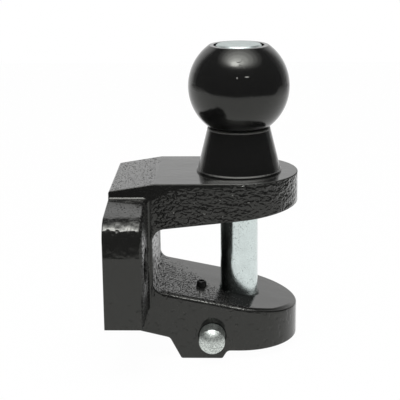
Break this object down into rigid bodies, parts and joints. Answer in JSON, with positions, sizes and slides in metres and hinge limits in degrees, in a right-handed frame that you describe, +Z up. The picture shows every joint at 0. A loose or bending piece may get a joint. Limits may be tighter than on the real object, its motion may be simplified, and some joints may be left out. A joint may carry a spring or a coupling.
{
  "type": "combination pin ball hitch",
  "caption": "Two-bolt flange towing hitch with a tow ball on the upper jaw and a removable pin, locked by a push plunger, that closes the jaws for a drawbar eye.",
  "frame": {"origin": "centre of the two-bolt pattern on the flange's mounting face", "axes": "+X out of the flange towards the open end of the jaws, +Z up along the pin, -Y the side with the push plunger"},
  "size_m": [0.0921, 0.124, 0.1527],
  "materials": {
    "jaw_paint": "gloss black paint on a rough casting",
    "ball_paint": "gloss black on a turned surface",
    "pin_zinc": "bright zinc plate",
    "plunger_zinc": "bright zinc plate",
    "spring_steel": "plain spring steel",
    "spring_pin_paint": "gloss black paint"
  },
  "bodies": {
    "jaw": {"jaw_body": "jaw_paint", "plunger_spring": "spring_steel", "plunger_retaining_pin": "spring_pin_paint"},
    "pin": {"pin": "pin_zinc"},
    "ball": {"ball": "ball_paint"},
    "plunger": {"lock_plunger": "plunger_zinc"}
  },
  "joints": [
    {"name": "pin_lift", "type": "slide", "parent": "jaw", "child": "pin", "axis": [0, 0, 1], "range_m": [0, 0.098]},
    {"name": "ball_spin", "type": "hinge", "parent": "pin", "child": "ball", "pos_m": [0.0628, 0, 0.036], "axis": [0, 0, 1], "continuous": true},
    {"name": "plunger_push", "type": "slide", "parent": "jaw", "child": "plunger", "axis": [0, 1, 0], "range_m": [0, 0.006], "stiffness_N_per_m": 1500, "springref_m": -0.006, "deforming": ["plunger_spring"]}
  ]
}
